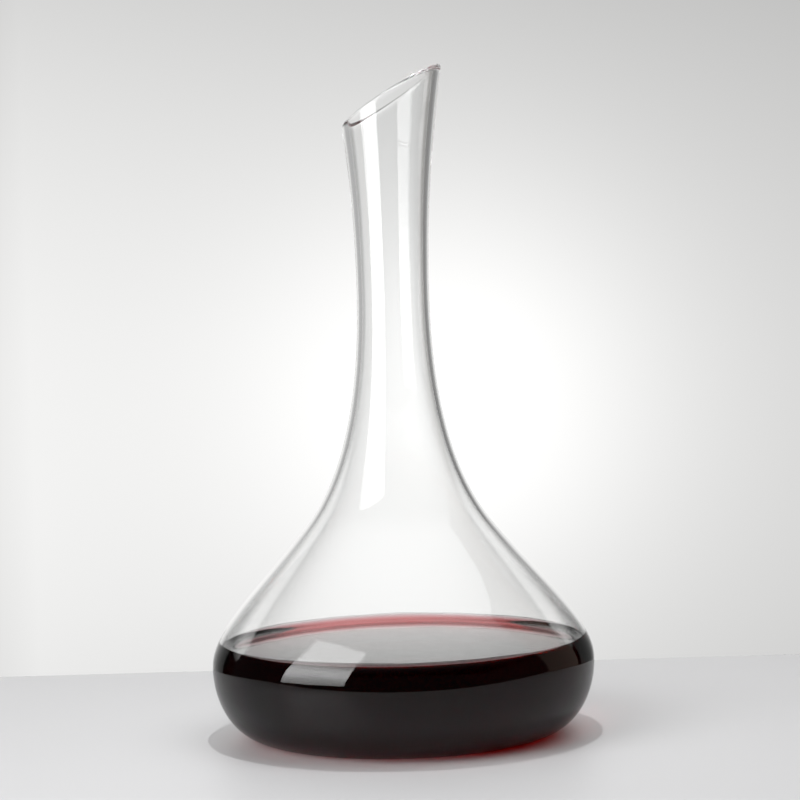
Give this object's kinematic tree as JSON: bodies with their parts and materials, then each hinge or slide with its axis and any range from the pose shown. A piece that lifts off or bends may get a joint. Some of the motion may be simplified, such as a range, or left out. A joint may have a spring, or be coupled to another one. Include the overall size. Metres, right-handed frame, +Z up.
{
  "type": "wine decanter",
  "caption": "Tall clear glass wine decanter with a wide squat bowl, a narrow waisted neck and a slanted flared mouth, part filled with red wine.",
  "frame": {"origin": "centre of the ring that the decanter stands on, at table height", "axes": "+Z up along the axis of the bowl and neck, +X towards the high side of the slanted mouth"},
  "size_m": [0.17, 0.17, 0.2974],
  "materials": {
    "clear_glass": "polished",
    "red_wine": "polished"
  },
  "bodies": {
    "root": {"vessel": "clear_glass", "wine": "red_wine"}
  },
  "joints": []
}
